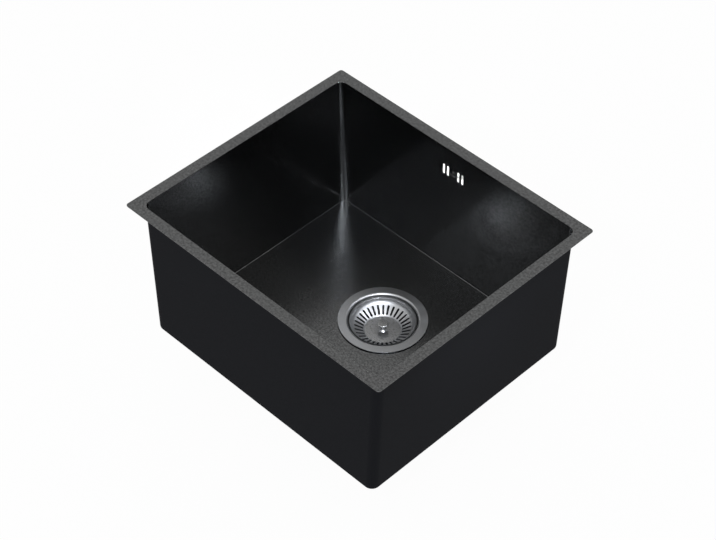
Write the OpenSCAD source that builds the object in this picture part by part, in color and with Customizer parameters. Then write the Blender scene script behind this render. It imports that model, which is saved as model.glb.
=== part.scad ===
// Single-bowl inset sink with a basket strainer waste and an overflow.
// The origin is the centre of the bowl outline in the top plane of the flange.
// +X runs to the right along the long side, +Y to the back wall and +Z up.

/* [Bowl] */
// Overall width of the flange, left to right
flange_w = 420; // [380:1:600]
// Overall depth of the flange, front to back
flange_d = 360; // [340:1:500]
// Width of the flat flange around the opening
flange_lip = 15; // [10:0.5:30]
// Corner radius of the flange outline
flange_corner_r = 4; // [1:0.5:12]
// Depth from the flange top to the floor
bowl_depth = 200; // [170:1:260]
// Sheet thickness of the bowl
sheet = 1.2; // [0.8:0.1:1.6]
// Inward lean of the left and right walls, measured at the floor
side_lean = 7; // [0:0.5:15]
// Corner radius of the upright corners, inside
corner_r = 10; // [6:1:25]
// Radius where the walls meet the floor, inside
floor_r = 1.5; // [1:0.5:5]
// Radius of the fold between the flange and the walls
fold_r = 1.2; // [0.6:0.2:2]

/* [Drain place] */
// Drain centre to the right of the bowl centre
drain_x = 5; // [-30:1:30]
// Drain centre behind the bowl centre
drain_y = 40; // [-20:1:60]
// Gap between the edge of the drain hole and the cup, per side
drain_hole_gap = 1.2; // [1:0.1:2]

/* [Waste flange] */
// Outer diameter of the waste flange ring
ring_d = 114; // [112:0.5:120]
// Width of the ring, from its edge to the cup's bore
ring_w = 13; // [12.5:0.25:16]
// Radius of the roll from the ring into the cup
roll_r = 3.25; // [3:0.25:4]
// Depth of the cup below the ring's top
cup_depth = 29; // [28:0.5:34]
// Inside radius of the cup's bottom edge
cup_edge_r = 5; // [3:0.5:7]
// Sheet thickness of the cup
cup_sheet = 0.8; // [0.6:0.1:1]
// Diameter of the well in the cup's floor, at its top
well_d = 50; // [46:1:52]
// Depth of the well
well_depth = 4; // [3:0.5:6]
// Slope width of the well's side
well_slope = 2; // [1:0.5:3]
// Diameter of the drain holes in the well
well_hole_d = 9; // [6:0.5:9.5]
// Pitch circle diameter of those holes
well_hole_pcd = 32; // [31:0.5:34]
// Number of those holes
well_hole_count = 6; // [4:1:8]
// Thickness of the seal under the ring
ring_gasket_t = 1.2; // [0.8:0.1:2]
// How far that seal stays back from the ring's edge
ring_gasket_back = 0.6; // [0.3:0.1:3]

/* [Basket] */
// Gap between the basket's rim bead and the cup, per side
basket_gap = 1; // [0.75:0.05:2]
// Thickness of the rim bead
bead_d = 1.6; // [1.2:0.1:2]
// Depth of the rim's top below the waste ring's top
basket_sink = 4; // [3:0.5:5]
// Depth of the basket floor below its rim's top
basket_depth = 14.6; // [13:0.2:15]
// Sheet thickness of the basket
basket_sheet = 0.6; // [0.5:0.1:0.8]
// Number of radial slots
slot_count = 32; // [24:1:36]
// Width of a radial slot
slot_w = 2.7; // [1.8:0.1:2.8]
// Distance of the slots' outer ends from the rim's edge
slot_back = 6.8; // [6:0.1:10]
// Length of a radial slot
slot_len = 11.9; // [10:0.1:12.5]
// Distance of the flat basket floor's edge from the slots
basket_floor_back = 1.3; // [1.2:0.1:4]
// Rise of the slotted cone from its inner to its outer edge
cone_rise = 6.2; // [4:0.2:6.6]
// Step from the basket floor up to the slotted cone
floor_step = 1.6; // [1:0.1:2]
// Turn of the basket about its own axis, as it lies in the cup
basket_turn = -1.8; // [-11:0.1:11]

/* [Knob, stem and plug] */
// Diameter of the knob's cap
knob_cap_d = 14.5; // [12:0.5:18]
// Height of the knob above the basket floor
knob_h = 12; // [9:0.5:16]
// Diameter of the knob's waist
knob_waist_d = 4.4; // [3.6:0.2:6]
// Thickness of the knob's cap
knob_cap_t = 2.2; // [1.6:0.2:3]
// Thickness of the knob's foot
knob_foot_t = 1.2; // [0.8:0.1:1.6]
// Diameter of the knob's foot
knob_foot_d = 11; // [9:0.5:13]
// Diameter of the stem
stem_d = 5; // [4:0.2:5.4]
// Length of the stem below the basket floor
stem_len = 29; // [27:0.5:30]
// Running clearance between the stem and what it turns in, per side
turn_clear = 0.06; // [0.04:0.01:0.1]
// Running clearance of the catch in the centre screw, per side
catch_clear = 0.06; // [0.04:0.01:0.1]
// Height of the catch sleeve
catch_h = 9; // [6:0.5:10]
// Depth of the groove that holds the catch on the stem
catch_groove = 0.5; // [0.3:0.1:0.7]
// Length of the rounded tip below the catch
stem_tip = 2; // [1.5:0.5:4]
// Width of the slit in the catch sleeve
catch_slit = 1; // [0.6:0.1:1.4]
// Diameter of the plug seal's skirt
plug_d = 56; // [54:0.5:60]
// Diameter of the plug seal's hub
plug_hub_d = 20; // [16:0.5:24]
// Rise of the skirt from its lip to the hub
plug_rise = 2.2; // [1.4:0.2:3]
// Thickness of the plug seal's skirt
plug_skirt_t = 2; // [1.6:0.2:2.4]
// Diameter of the washer under the plug seal
plug_washer_d = 13; // [11:0.5:16]
// Thickness of that washer
plug_washer_t = 0.8; // [0.6:0.1:1]
// Gap left between pieces of the basket and what they rest on
rest_gap = 0.3; // [0.2:0.05:0.35]

/* [Centre screw and insert] */
// Diameter of the screw's head
screw_head_d = 18; // [16:0.5:20]
// Height of the screw's head
screw_head_h = 1.6; // [1.2:0.1:1.8]
// Diameter of the screw's shank
screw_d = 12; // [11:0.5:13]
// Diameter of the bore through the screw
screw_bore_d = 7.8; // [7.4:0.1:8.4]
// Length of the shank
screw_len = 26; // [24:0.5:28]
// Width of the driver slot across the head
screw_slot_w = 2.4; // [1.6:0.1:3]
// Depth of the driver slot
screw_slot_depth = 1; // [0.6:0.1:1.1]
// Clearance between fixed round pieces, per side
fixed_clear = 0.1; // [0.05:0.05:0.2]
// Width of the brass insert across its flats
insert_af = 19; // [18:0.5:20]
// Height of the brass insert
insert_h = 11; // [8:0.5:12]

/* [Waste body] */
// Thickness of the rubber ring above the body
body_gasket_t = 3; // [2:0.5:5]
// How far the body's rim stays back from the ring's edge, per side
body_rim_back = 1.5; // [0:0.5:2]
// Thickness of the body's rim
body_rim_t = 5; // [3:0.5:7]
// Wall thickness of the body
body_wall = 2.5; // [2:0.1:3]
// Gap between the cup and the body's inside, per side
body_gap = 1.4; // [1:0.1:2]
// Depth of the body's straight part
body_drum_h = 47; // [46:0.5:54]
// Height of the funnel under it
body_funnel_h = 12; // [10:0.5:18]
// Outside diameter of the outlet thread
outlet_d = 47.8; // [47.8:0.1:48.2]
// Bore of the outlet
outlet_bore_d = 40; // [38:0.5:41]
// Length of the outlet
outlet_len = 20; // [16:0.5:30]
// Thread pitch of the outlet
outlet_pitch = 2.3; // [2:0.1:2.6]
// Depth of the thread grooves
thread_depth = 0.8; // [0.4:0.1:1]
// Length of the plain nose below the thread grooves
outlet_nose = 3; // [2:0.5:4]
// Diameter of the centre boss
boss_d = 28; // [27:0.5:30]
// Thickness of the ribs that carry the boss
boss_rib_t = 3; // [2:0.5:4]
// Number of those ribs
boss_rib_count = 4; // [3:1:5]
// Number of outer stiffening ribs
drum_rib_count = 12; // [6:1:16]
// Thickness of the outer ribs
drum_rib_t = 2; // [1.5:0.5:3]
// How far the outer ribs stand out from the drum
drum_rib_out = 3; // [1:0.5:3]

/* [Overflow] */
// Depth of the overflow's centre below the flange top
overflow_z = 36.5; // [36:0.5:60]
// Width of an overflow slot
over_slot_w = 3.6; // [3:0.1:3.9]
// Length of an overflow slot
over_slot_len = 16; // [12:0.5:18]
// Distance of the inner slots from the screw
over_slot_x1 = 8.7; // [8.3:0.1:9.5]
// Distance of the outer slots from the screw
over_slot_x2 = 15.4; // [14:0.1:16]
// Diameter of the overflow screw's head
over_head_d = 9; // [8:0.2:10.4]
// Height of that head
over_head_h = 1.8; // [1.4:0.1:2.6]
// Height of the straight edge under its dome
over_head_edge = 0.6; // [0.4:0.1:1]
// Diameter of the overflow screw's shank
over_screw_d = 5; // [4:0.2:5.6]
// Length of the overflow screw's shank
over_screw_len = 15; // [12:0.5:20]
// Width of its driver slot
over_driver_w = 1.6; // [1:0.1:1.8]
// Depth of its driver slot
over_driver_depth = 1; // [0.6:0.1:1.2]
// Turn of its driver slot from level
over_screw_turn = 3; // [0:1:180]
// Thickness of the overflow gasket
over_gasket_t = 2; // [1:0.2:3]
// Width of the overflow housing
head_w = 50; // [48:0.5:60]
// Height of the overflow housing
head_h = 30; // [28:0.5:31]
// Depth of the overflow housing
head_depth = 26; // [26:0.5:30]
// Wall thickness of the overflow housing
head_wall = 2; // [1.5:0.1:2.5]
// Width of the housing's rim around its mouth
head_rim = 3; // [2:0.5:3]
// Thickness of that rim
head_rim_t = 2; // [1.5:0.1:3]
// Diameter of the boss that takes the screw
head_boss_d = 11; // [10.4:0.2:12]
// Gap between that boss and the wall
head_boss_gap = 0.5; // [0.3:0.1:0.9]
// Length of the brass bush in that boss
over_insert_h = 8; // [6:0.5:9]
// Diameter of that bush
over_insert_d = 8; // [7:0.2:8.4]

/* [Hose] */
// Plain outside diameter of the hose's ends
hose_d = 18; // [17:0.5:18.5]
// Bore of the hose
hose_bore_d = 14.5; // [12:0.5:14.5]
// Diameter over the ribs
hose_rib_d = 20; // [19:0.5:21]
// Pitch of the ribs
hose_pitch = 3.6; // [3.2:0.1:5]
// Radius of the bend, at the hose's middle
hose_bend_r = 40; // [38:1:46]
// Distance of the hose's upright run from the housing's mouth
hose_back = 14; // [13.5:0.5:14.5]
// Depth of the body's overflow inlet below the sink's underside
inlet_drop = 35; // [34.5:0.5:37]
// Outside diameter of the two hose spigots
spigot_d = 22; // [21.6:0.2:23]
// Length of the spigots
spigot_len = 14; // [12:0.5:18]
// How deep the hose's plain ends go into the spigots
hose_seat = 9; // [6:0.5:11]
// Height of the cone washers
hose_seal_h = 4; // [3:0.5:5]
// Outside diameter of the union nuts
nut_d = 28; // [27:0.5:29]
// Height of the union nuts
nut_h = 16; // [15:0.5:17]
// Thickness of the union nuts' end wall
nut_end = 2.5; // [2:0.5:3]
// Number of grip ribs on a union nut
nut_rib_count = 12; // [8:1:16]
// Plain length of the hose beyond a nut
hose_plain = 4; // [3:0.5:8]

/* [Sound pads] */
// Distance of the pads from the bowl's left and right walls
pad_side = 25; // [10:1:60]
// Distance of the pads from the bowl's front and back walls
pad_end = 65; // [20:5:100]
// Thickness of a pad
pad_t = 3; // [2:0.5:5]
// Gap from the pads to the waste body's rim
pad_clear = 12; // [5:1:20]

/* [Hidden] */
$fn = 96;

// Small extra length that lets a cut run past a face
eps = 0.02;
// Reach of a cut that has to clear a whole wall
past = 5;
// Facets of the blended bowl corners
blend_fn = 48;
// How far ribs and webs run into what they stand on
root = 1;
// Corner radius of the sound pads
pad_corner_r = 6;
// Gap between the centre boss and the cup's well
boss_gap = 1;
// Depth of the brass insert below the top of that boss
insert_cover = 2;
// How far the body gasket stands past the rim and back from the body's bore
body_gasket_over = 0.5;
body_gasket_back = 1;
// Height at the foot of the drum that has no ribs
drum_rib_foot = 2;

// Half sizes of the opening at the top plane
open_x = flange_w/2 - flange_lip;
open_y = flange_d/2 - flange_lip;

// Heights of the stack at the drain, all below the flange top
floor_z = -bowl_depth;
under_z = floor_z - sheet;
ring_z = floor_z + ring_gasket_t + cup_sheet;
cup_floor_z = ring_z - cup_depth;
well_z = cup_floor_z - well_depth;
rim_z = ring_z - basket_sink;
basket_floor_z = rim_z - basket_depth;
body_top_z = under_z - body_gasket_t;
drum_bottom_z = body_top_z - body_drum_h;
funnel_bottom_z = drum_bottom_z - body_funnel_h;
outlet_z = funnel_bottom_z - outlet_len;
inlet_z = under_z - inlet_drop;

// Radii of the cup, the basket and the body
cup_r = ring_d/2 - ring_w;
ring_flat_r = cup_r + roll_r;
drain_hole_r = cup_r + cup_sheet + drain_hole_gap;
basket_r = cup_r - basket_gap;
slot_out_r = basket_r - slot_back;
slot_in_r = slot_out_r - slot_len;
basket_floor_r = slot_in_r - basket_floor_back;
body_in_r = cup_r + cup_sheet + body_gap;
drum_r = body_in_r + body_wall;
body_rim_r = ring_d/2 - body_rim_back;
boss_top_z = well_z - cup_sheet - boss_gap;
insert_top_z = boss_top_z - insert_cover;

// Places at the overflow
wall_y = open_y + sheet;
head_y = wall_y + over_gasket_t;
hose_y = head_y + hose_back;
head_bottom_z = -overflow_z - head_h/2;
spigot_end_z = head_bottom_z - spigot_len;
spigot_bore_d = hose_d + 2*fixed_clear;
boss_front_y = wall_y + head_boss_gap;
inlet_len = sqrt(pow(drum_r, 2) - pow(spigot_d/2, 2)) + spigot_len;
inlet_end_y = drain_y + inlet_len;

// Route of the ribbed part: down behind the bowl, round one bend, then forward to the body
cuff_out = hose_seal_h + nut_end + hose_plain;
hose_top_z = spigot_end_z - cuff_out;
hose_end_y = inlet_end_y + cuff_out;
run_down = hose_top_z - inlet_z - hose_bend_r;
run_bend = hose_bend_r*PI/2;
run_level = hose_y - hose_bend_r - hose_end_y;
hose_run = run_down + run_bend + run_level;
hose_ribs = round(hose_run/hose_pitch);
hose_sides = 8;
// Half ribs between two rings of the hose's bore
bore_skip = 4;
// Difference in diameter between the two ends of a cone washer
seal_taper = 1;
// Radius of a nut's grip ribs, and how far they stand out
nut_rib_r = 1.2;
nut_rib_out = 0.8;

function half_x(z) = open_x + side_lean*z/bowl_depth;
function ease(t) = t*t*(3 - 2*t);

module at_drain(z = 0) {
    translate([drain_x, drain_y, z]) children();
}

module tube(r_out, r_in, h) {
    difference() {
        cylinder(r = r_out, h = h);
        translate([0, 0, -eps]) cylinder(r = r_in, h = h + 2*eps);
    }
}

// Flat rounded rectangle, made of squares and circles
module round_rect(w, d, r) {
    square([w - 2*r, d], center = true);
    square([w, d - 2*r], center = true);
    for (x = [-1, 1], y = [-1, 1]) {
        translate([x*(w/2 - r), y*(d/2 - r)]) circle(r = r);
    }
}

// Four upright discs at the corners of a rectangle, for hulls
module corner_discs(hx, hy, r, z) {
    for (x = [-1, 1], y = [-1, 1]) {
        translate([x*(hx - r), y*(hy - r), z]) cylinder(r = r, h = eps, $fn = blend_fn);
    }
}

// Lower end of an upright corner with its floor radius
module corner_feet(hx, hy, r, foot_r, z) {
    for (x = [-1, 1], y = [-1, 1]) {
        translate([x*(hx - r), y*(hy - r), z]) rotate_extrude($fn = blend_fn) {
            square([r - foot_r, foot_r]);
            translate([r - foot_r, foot_r]) intersection() {
                circle(r = foot_r, $fn = 32);
                translate([0, -foot_r]) square([foot_r, foot_r]);
            }
        }
    }
}

// Solid that fills the bowl up to a plane, grown by a wall thickness
module bowl_fill(grow, z_top) {
    hull() {
        corner_discs(half_x(z_top) + grow, open_y + grow, corner_r + grow, z_top);
        corner_feet(half_x(floor_z) + grow, open_y + grow, corner_r + grow, floor_r + grow, floor_z - grow);
    }
}

// Cut that rounds the fold between the flange and the walls, one slice at a time
module fold_slice(a0, a1) {
    function out(a) = fold_r*(1 - cos(a));
    function drop(a) = -fold_r*(1 - sin(a));
    hull() {
        for (a = [a0, a1]) {
            corner_discs(half_x(drop(a)) + out(a), open_y + out(a), corner_r + out(a), drop(a));
        }
    }
}

// Bowl and drain

module overflow_slot() {
    rotate([90, 0, 0]) linear_extrude(height = 2*past, center = true) {
        square([over_slot_w, over_slot_len - over_slot_w], center = true);
        for (s = [-1, 1]) {
            translate([0, s*(over_slot_len - over_slot_w)/2]) circle(d = over_slot_w);
        }
    }
}

module sink_bowl() {
    color([0.12, 0.12, 0.13]) difference() {
        union() {
            translate([0, 0, -sheet]) linear_extrude(height = sheet) {
                round_rect(flange_w, flange_d, flange_corner_r);
            }
            bowl_fill(sheet, -sheet);
        }
        bowl_fill(0, 0);
        for (a = [0, 30, 60]) fold_slice(a, a + 30);
        at_drain(under_z - past) cylinder(r = drain_hole_r, h = 3*past);
        translate([0, open_y, -overflow_z]) {
            for (x = [over_slot_x1, over_slot_x2], s = [-1, 1]) {
                translate([s*x, 0, 0]) overflow_slot();
            }
            rotate([90, 0, 0]) cylinder(d = over_screw_d + 2*fixed_clear, h = 2*past, center = true);
        }
    }
}

module sound_pad(side) {
    inner_x = drain_x + side*(body_rim_r + pad_clear);
    outer_x = side*(half_x(floor_z) - pad_side);
    translate([(inner_x + outer_x)/2, 0, under_z - pad_t]) {
        color([0.16, 0.16, 0.17]) linear_extrude(height = pad_t) {
            round_rect(abs(outer_x - inner_x), 2*(open_y - pad_end), pad_corner_r);
        }
    }
}

module sound_pad_left() {
    sound_pad(-1);
}

module sound_pad_right() {
    sound_pad(1);
}

// Outline of all that lies above one face of the pressed cup and its ring, out to a radius
// and up to a height. A thickness of 0 gives the upper face, and the sheet's the lower one
module cup_fill(t, out_r, top_z) {
    wall_r = cup_r + t;
    edge_x = cup_r - cup_edge_r;
    edge_z = cup_floor_z + cup_edge_r;
    lean = well_slope/well_depth;
    side_r = well_d/2 + t*(norm([1, lean]) - lean);
    difference() {
        polygon([
            [0, top_z], [out_r, top_z], [out_r, ring_z - t], [ring_flat_r, ring_z - t],
            [ring_flat_r, ring_z - roll_r], [wall_r, ring_z - roll_r],
            [wall_r, cup_floor_z - t], [side_r, cup_floor_z - t],
            [side_r - well_slope, well_z - t], [0, well_z - t]
        ]);
        // Roll from the ring into the wall
        translate([ring_flat_r, ring_z - roll_r]) circle(r = roll_r - t);
        // Rounded bottom edge
        difference() {
            translate([edge_x, cup_floor_z - past]) square(cup_edge_r + past);
            translate([edge_x, edge_z]) circle(r = cup_edge_r + t);
        }
    }
}

module waste_flange() {
    color([0.72, 0.73, 0.74]) at_drain() difference() {
        rotate_extrude() difference() {
            cup_fill(cup_sheet, ring_d/2, ring_z + root);
            cup_fill(0, ring_d/2 + past, ring_z + past);
        }
        translate([0, 0, well_z - past]) {
            cylinder(d = screw_d + 2*fixed_clear, h = 2*past);
            for (i = [0:well_hole_count - 1]) {
                rotate(i*360/well_hole_count) translate([well_hole_pcd/2, 0, 0]) {
                    cylinder(d = well_hole_d, h = 2*past);
                }
            }
        }
    }
}

module flange_gasket() {
    color([0.08, 0.08, 0.08]) at_drain(floor_z) {
        tube(ring_d/2 - ring_gasket_back, ring_flat_r + fixed_clear, ring_gasket_t);
    }
}

module body_gasket() {
    color([0.08, 0.08, 0.08]) at_drain(under_z - body_gasket_t) {
        tube(body_rim_r + body_gasket_over, body_in_r + body_gasket_back, body_gasket_t);
    }
}

// Waste body

module body_outline() {
    translate([0, body_top_z - body_rim_t]) square([body_rim_r, body_rim_t]);
    translate([0, drum_bottom_z]) square([drum_r, body_drum_h]);
    polygon([
        [0, drum_bottom_z], [drum_r, drum_bottom_z],
        [outlet_d/2, funnel_bottom_z], [0, funnel_bottom_z]
    ]);
    translate([0, outlet_z]) square([outlet_d/2, outlet_len]);
}

module body_hollow() {
    throat_z = funnel_bottom_z + body_wall;
    translate([0, drum_bottom_z]) square([body_in_r, body_drum_h + past]);
    polygon([
        [0, drum_bottom_z], [body_in_r, drum_bottom_z],
        [outlet_bore_d/2, throat_z], [0, throat_z]
    ]);
    translate([0, outlet_z - past]) square([outlet_bore_d/2, throat_z - outlet_z + past]);
}

// Grooves that stand for the outlet's thread
module outlet_grooves() {
    groove = outlet_pitch/2;
    span = outlet_len - outlet_nose - 2*groove;
    for (z = [0:outlet_pitch:span]) {
        translate([0, 0, outlet_z + outlet_nose + z]) {
            tube(outlet_d/2 + thread_depth, outlet_d/2 - thread_depth, groove);
        }
    }
}

// Centre boss and the webs that carry it from the funnel and the drum
module boss_and_webs() {
    boss_r = boss_d/2;
    translate([0, 0, funnel_bottom_z]) cylinder(r = boss_r, h = boss_top_z - funnel_bottom_z);
    for (i = [0:boss_rib_count - 1]) {
        rotate(i*360/boss_rib_count + 45) rotate([90, 0, 0]) {
            linear_extrude(height = boss_rib_t, center = true) polygon([
                [boss_r - root, funnel_bottom_z], [outlet_bore_d/2 + body_wall/2, funnel_bottom_z],
                [body_in_r + body_wall/2, drum_bottom_z], [body_in_r + body_wall/2, drum_bottom_z + past],
                [boss_r - root, boss_top_z - root]
            ]);
        }
    }
}

module drum_ribs() {
    rib_h = body_drum_h - body_rim_t - drum_rib_foot + root;
    for (i = [0:drum_rib_count - 1]) {
        rotate((i + 0.5)*360/drum_rib_count) {
            translate([drum_r - root, -drum_rib_t/2, drum_bottom_z + drum_rib_foot]) {
                cube([root + drum_rib_out, drum_rib_t, rib_h]);
            }
        }
    }
}

module toward_back(z) {
    translate([0, 0, z]) rotate([-90, 0, 0]) children();
}

module waste_body() {
    color([0.9, 0.9, 0.88]) at_drain() difference() {
        union() {
            difference() {
                union() {
                    rotate_extrude() body_outline();
                    drum_ribs();
                    toward_back(inlet_z) cylinder(d = spigot_d, h = inlet_len);
                }
                rotate_extrude() body_hollow();
            }
            boss_and_webs();
        }
        toward_back(inlet_z) translate([0, 0, body_in_r - past]) cylinder(d = hose_bore_d, h = inlet_len);
        toward_back(inlet_z) translate([0, 0, inlet_len - hose_seat - fixed_clear]) {
            cylinder(d = spigot_bore_d, h = hose_seat + past);
        }
        translate([0, 0, insert_top_z - insert_h]) insert_outline(fixed_clear, insert_h);
        translate([0, 0, outlet_z]) cylinder(d = screw_d + 2*fixed_clear, h = boss_top_z - outlet_z + past);
        outlet_grooves();
    }
}

// Six-sided bush, grown by a clearance on each flat
module insert_outline(grow, h) {
    cylinder(r = (insert_af/2 + grow)/cos(30), h = h, $fn = 6);
}

module body_insert() {
    color([0.78, 0.62, 0.3]) at_drain(insert_top_z - insert_h) difference() {
        insert_outline(0, insert_h);
        translate([0, 0, -eps]) cylinder(d = screw_d + 2*fixed_clear, h = insert_h + 2*eps);
    }
}

module centre_screw() {
    color([0.72, 0.73, 0.74]) at_drain() difference() {
        union() {
            translate([0, 0, well_z]) cylinder(d = screw_head_d, h = screw_head_h);
            translate([0, 0, well_z - screw_len]) cylinder(d = screw_d, h = screw_len + eps);
        }
        translate([0, 0, well_z - screw_len - eps]) {
            cylinder(d = screw_bore_d, h = screw_len + screw_head_h + past);
        }
        translate([0, 0, well_z + screw_head_h]) {
            cube([screw_head_d + past, screw_slot_w, 2*screw_slot_depth], center = true);
        }
    }
}

// Basket and plug

// Outline from the axis to one face of the basket: flat floor, step, slotted cone and a
// rounded wall that leaves the cone smoothly
module basket_fill(t) {
    cone_low = basket_floor_z + floor_step;
    cone_high = cone_low + cone_rise;
    tilt = atan(cone_rise/(slot_out_r - slot_in_r));
    wall_r = basket_r - bead_d/2;
    arc_r = (wall_r - slot_out_r)/(1 - sin(tilt));
    arc_z = cone_high + arc_r*cos(tilt);
    dx = t*sin(tilt);
    dz = t*cos(tilt);
    polygon([
        [0, basket_floor_z - t], [basket_floor_r + t/2, basket_floor_z - t],
        [slot_in_r + dx, cone_low - dz], [slot_out_r + dx, cone_high - dz],
        [slot_out_r + dx, rim_z], [0, rim_z]
    ]);
    intersection() {
        translate([wall_r - arc_r, arc_z]) circle(r = arc_r + t, $fn = 180);
        translate([slot_out_r + dx - eps, cone_high - dz]) square([wall_r, rim_z - cone_high + dz]);
    }
}

module strainer_basket() {
    color([0.78, 0.79, 0.8]) at_drain() rotate(basket_turn) difference() {
        rotate_extrude() {
            difference() {
                basket_fill(basket_sheet);
                basket_fill(0);
                translate([0, rim_z - bead_d/2]) square([basket_r + past, past]);
            }
            translate([basket_r - bead_d/2, rim_z - bead_d/2]) circle(d = bead_d, $fn = 32);
        }
        for (i = [0:slot_count - 1]) {
            rotate(i*360/slot_count) translate([0, 0, basket_floor_z - past]) {
                translate([slot_in_r + slot_w/2, -slot_w/2, 0]) {
                    cube([slot_out_r - slot_in_r - slot_w, slot_w, basket_depth + past]);
                }
                for (r = [slot_in_r + slot_w/2, slot_out_r - slot_w/2]) {
                    translate([r, 0, 0]) cylinder(d = slot_w, h = basket_depth + past);
                }
            }
        }
        translate([0, 0, basket_floor_z - past]) cylinder(d = stem_d + 2*fixed_clear, h = 2*past);
    }
}

module lift_knob() {
    cap_r = knob_cap_d/2;
    foot_r = knob_foot_d/2;
    flare_r = (knob_h - knob_cap_t - knob_foot_t)/2;
    flare_x = knob_waist_d/2 + flare_r;
    color([0.8, 0.81, 0.82]) at_drain(basket_floor_z) rotate_extrude() difference() {
        union() {
            square([flare_x, knob_h - knob_cap_t/2]);
            translate([0, knob_h - knob_cap_t]) square([cap_r - knob_cap_t/2, knob_cap_t]);
            translate([cap_r - knob_cap_t/2, knob_h - knob_cap_t/2]) circle(d = knob_cap_t, $fn = 32);
        }
        translate([flare_x, knob_foot_t + flare_r]) circle(r = flare_r);
        translate([foot_r, -eps]) square([cap_r, knob_foot_t + flare_r]);
    }
}

module basket_stem() {
    stem_r = stem_d/2;
    tip_r = 1;
    color([0.72, 0.73, 0.74]) at_drain(basket_floor_z - stem_len) rotate_extrude() difference() {
        union() {
            square([stem_r - tip_r, stem_len]);
            translate([0, tip_r]) square([stem_r, stem_len - tip_r]);
            translate([stem_r - tip_r, tip_r]) circle(r = tip_r, $fn = 32);
        }
        translate([stem_r - catch_groove, stem_tip]) square([past, catch_h + 2*turn_clear]);
    }
}

module stem_catch() {
    r_in = stem_d/2 - catch_groove + turn_clear;
    r_out = screw_bore_d/2 - catch_clear;
    color([0.85, 0.85, 0.85]) at_drain(basket_floor_z - stem_len + stem_tip + turn_clear) difference() {
        tube(r_out, r_in, catch_h);
        translate([0, -catch_slit/2, -eps]) cube([past, catch_slit, catch_h + 2*eps]);
    }
}

module plug_seal() {
    hub_top = basket_floor_z - basket_sheet - rest_gap;
    lip_z = cup_floor_z + rest_gap;
    lip_w = 3;
    skirt_r = plug_d/2;
    hub_r = plug_hub_d/2;
    hub_z = lip_z + plug_rise;
    color([0.07, 0.07, 0.07]) at_drain() difference() {
        rotate_extrude() {
            translate([0, lip_z]) square([hub_r, hub_top - lip_z]);
            polygon([
                [hub_r - root, hub_z + plug_skirt_t], [hub_r - root, hub_z],
                [skirt_r - lip_w, lip_z], [skirt_r, lip_z], [skirt_r, lip_z + plug_skirt_t/2]
            ]);
        }
        translate([0, 0, well_z]) cylinder(d = stem_d + 2*turn_clear, h = basket_depth + well_depth + past);
    }
}

module plug_washer() {
    top_z = cup_floor_z + rest_gap;
    color([0.72, 0.73, 0.74]) at_drain(top_z - plug_washer_t) {
        tube(plug_washer_d/2, stem_d/2 + turn_clear, plug_washer_t);
    }
}

// Overflow

module stadium(w, h) {
    square([w - h, h], center = true);
    for (s = [-1, 1]) translate([s*(w - h)/2, 0]) circle(d = h);
}

// Puts a shape on the back wall at the overflow, with its own +Z pointing away from the bowl
module behind_wall(y) {
    translate([0, y, -overflow_z]) rotate([-90, 0, 0]) children();
}

module overflow_head() {
    inner_w = head_w - 2*head_wall;
    inner_h = head_h - 2*head_wall;
    color([0.95, 0.95, 0.94]) difference() {
        union() {
            difference() {
                union() {
                    behind_wall(head_y) linear_extrude(height = head_depth) stadium(head_w, head_h);
                    behind_wall(head_y) linear_extrude(height = head_rim_t) {
                        stadium(head_w + 2*head_rim, head_h + 2*head_rim);
                    }
                    translate([0, hose_y, spigot_end_z]) cylinder(d = spigot_d, h = spigot_len + head_h/2);
                }
                behind_wall(head_y - past) linear_extrude(height = head_depth - head_wall + past) {
                    stadium(inner_w, inner_h);
                }
            }
            behind_wall(boss_front_y) {
                cylinder(d = head_boss_d, h = head_y + head_depth - head_wall/2 - boss_front_y);
            }
        }
        translate([0, hose_y, spigot_end_z - past]) {
            cylinder(d = hose_bore_d, h = spigot_len + head_wall + 2*past);
            cylinder(d = spigot_bore_d, h = hose_seat + fixed_clear + past);
        }
        behind_wall(boss_front_y - past) {
            cylinder(d = over_insert_d + 2*fixed_clear, h = over_insert_h + fixed_clear + past);
            cylinder(d = over_screw_d + 2*fixed_clear, h = over_screw_len + past);
        }
    }
}

module overflow_gasket() {
    color([0.08, 0.08, 0.08]) behind_wall(wall_y) linear_extrude(height = over_gasket_t) difference() {
        stadium(head_w + 2*head_rim, head_h + 2*head_rim);
        stadium(head_w - 2*head_wall, head_h - 2*head_wall);
    }
}

module overflow_insert() {
    color([0.78, 0.62, 0.3]) behind_wall(boss_front_y) {
        tube(over_insert_d/2, over_screw_d/2 + fixed_clear, over_insert_h);
    }
}

module overflow_screw() {
    head_r = over_head_d/2;
    dome_h = over_head_h - over_head_edge;
    dome_r = (pow(head_r, 2) + pow(dome_h, 2))/(2*dome_h);
    color([0.75, 0.76, 0.77]) translate([0, open_y, -overflow_z]) difference() {
        union() {
            rotate([90, 0, 0]) rotate_extrude() {
                square([head_r, over_head_edge]);
                intersection() {
                    translate([0, over_head_h - dome_r]) circle(r = dome_r, $fn = 180);
                    translate([0, over_head_edge/2]) square([head_r, over_head_h]);
                }
            }
            rotate([-90, 0, 0]) cylinder(d = over_screw_d, h = over_screw_len);
        }
        rotate([0, over_screw_turn, 0]) translate([0, -over_head_h, 0]) {
            cube([over_head_d + past, 2*over_driver_depth, over_driver_w], center = true);
        }
    }
}

// Hose and its fittings. Each end is drawn from its spigot's mouth, with +Z along the hose

module at_upper_spigot() {
    translate([0, hose_y, spigot_end_z]) rotate([180, 0, 0]) children();
}

module at_lower_spigot() {
    translate([drain_x, inlet_end_y, inlet_z]) rotate([-90, 0, 0]) children();
}

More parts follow.
